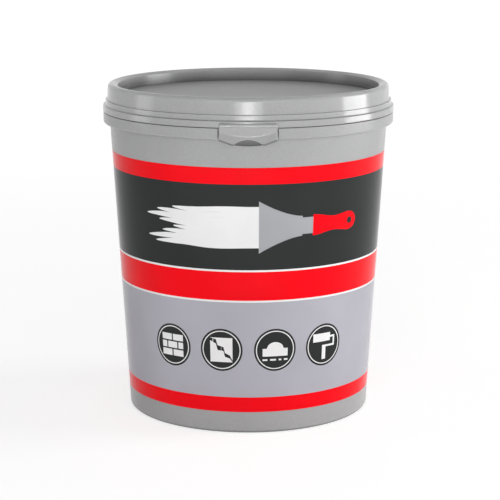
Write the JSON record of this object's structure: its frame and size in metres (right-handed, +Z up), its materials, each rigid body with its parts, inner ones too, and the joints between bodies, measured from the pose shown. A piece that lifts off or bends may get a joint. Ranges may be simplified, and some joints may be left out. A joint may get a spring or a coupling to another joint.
{
  "type": "wall filler tub",
  "caption": "Tapered round plastic tub of ready-mixed wall filler with a wrap-round label, a press-on stacking lid and a hinged pull tab at the collar.",
  "frame": {"origin": "on the table under the tub's axis, at the centre of the foot ring", "axes": "+Z up along the tub's axis, -Y towards the pull tab, +X to the right as seen from the tab's side"},
  "size_m": [0.1194, 0.1212, 0.135],
  "materials": {
    "tub_plastic": "satin",
    "lid_plastic": "satin",
    "label_film": "gloss",
    "filler_paste": "matte"
  },
  "bodies": {
    "tub": {"tub": "tub_plastic", "label": "label_film", "filler_paste": "filler_paste"},
    "lid": {"lid": "lid_plastic"},
    "pull_tab": {"pull_tab": "lid_plastic"}
  },
  "joints": [
    {"name": "lid_lift", "type": "slide", "parent": "tub", "child": "lid", "axis": [0, 0, 1], "range_m": [0, 0.06]},
    {"name": "tab_hinge", "type": "hinge", "parent": "lid", "child": "pull_tab", "pos_m": [0, -0.06, 0.1247], "axis": [-1, 0, 0], "range_deg": [0, 110]}
  ]
}
